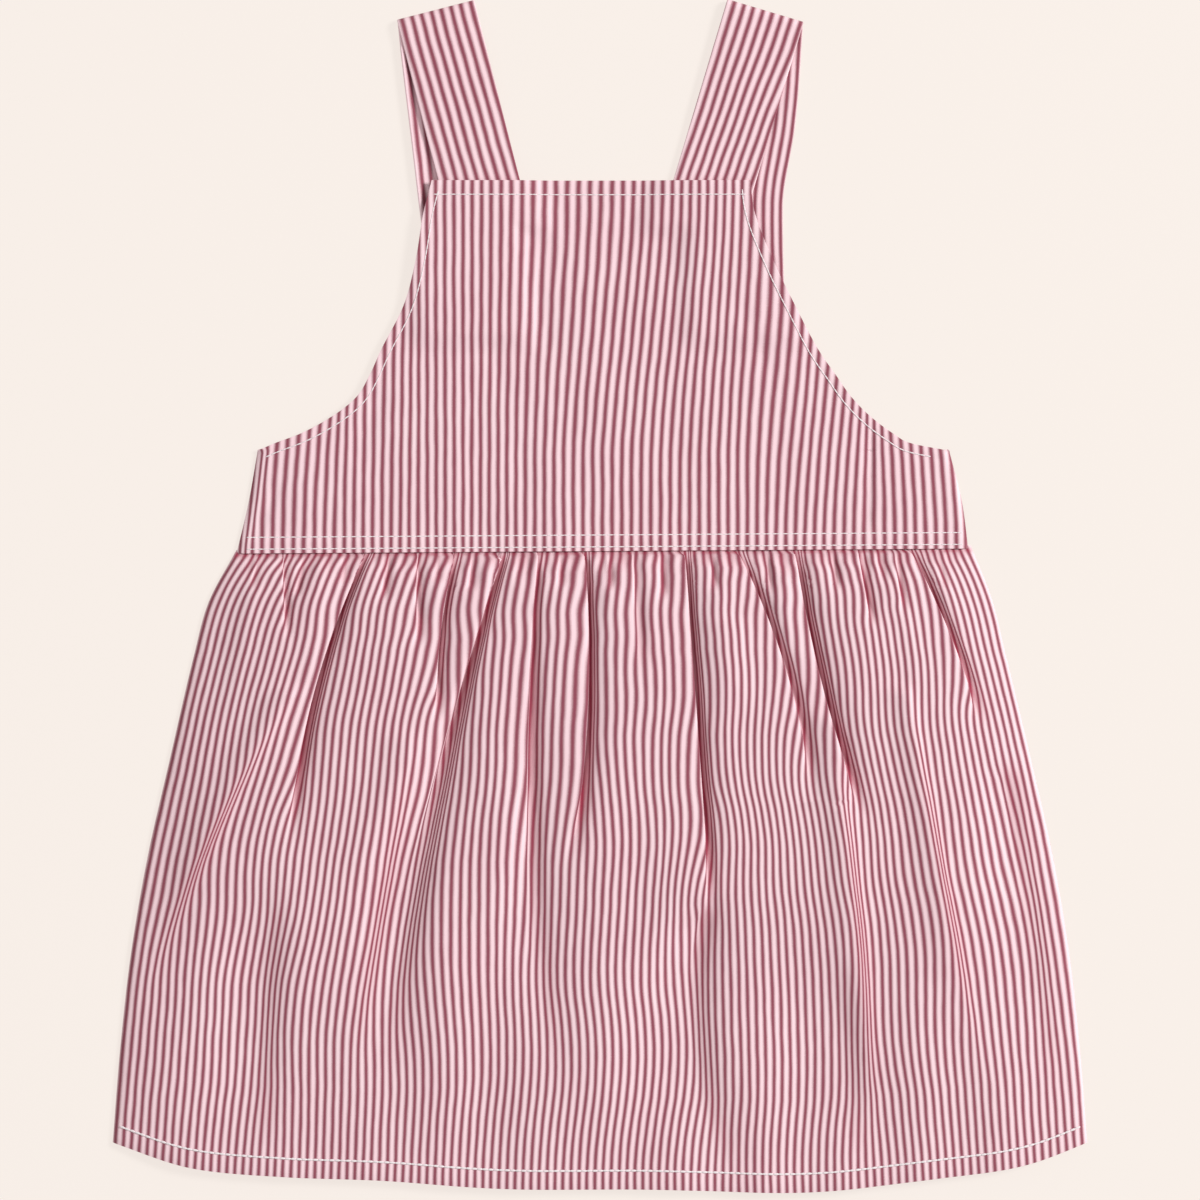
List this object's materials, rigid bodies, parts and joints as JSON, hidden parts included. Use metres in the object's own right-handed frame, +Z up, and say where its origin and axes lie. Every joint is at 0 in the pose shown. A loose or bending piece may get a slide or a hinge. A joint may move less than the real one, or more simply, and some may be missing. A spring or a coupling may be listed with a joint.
{
  "type": "pinafore dress",
  "caption": "Child's pinafore dress in striped cotton twill, laid flat: bib with shoulder straps, seam at the waist and a gathered skirt.",
  "frame": {"origin": "middle of the underside, on the surface that the dress lies on", "axes": "+X to the right as seen from above, +Y from the hem to the shoulders, +Z up off the surface"},
  "size_m": [0.4286, 0.5244, 0.0123],
  "materials": {
    "bodice_twill": "matt cotton twill, narrow red and white stripes along the length, white topstitching",
    "skirt_twill": "matt cotton twill, narrow red and white stripes along the length, gathered, topstitched hem",
    "strap_twill": "matt cotton twill in two layers, narrow red and white stripes along the strap"
  },
  "bodies": {
    "root": {"bodice_front": "bodice_twill", "bodice_back": "bodice_twill", "skirt_front": "skirt_twill", "skirt_back": "skirt_twill", "strap_left": "strap_twill", "strap_right": "strap_twill"}
  },
  "joints": []
}
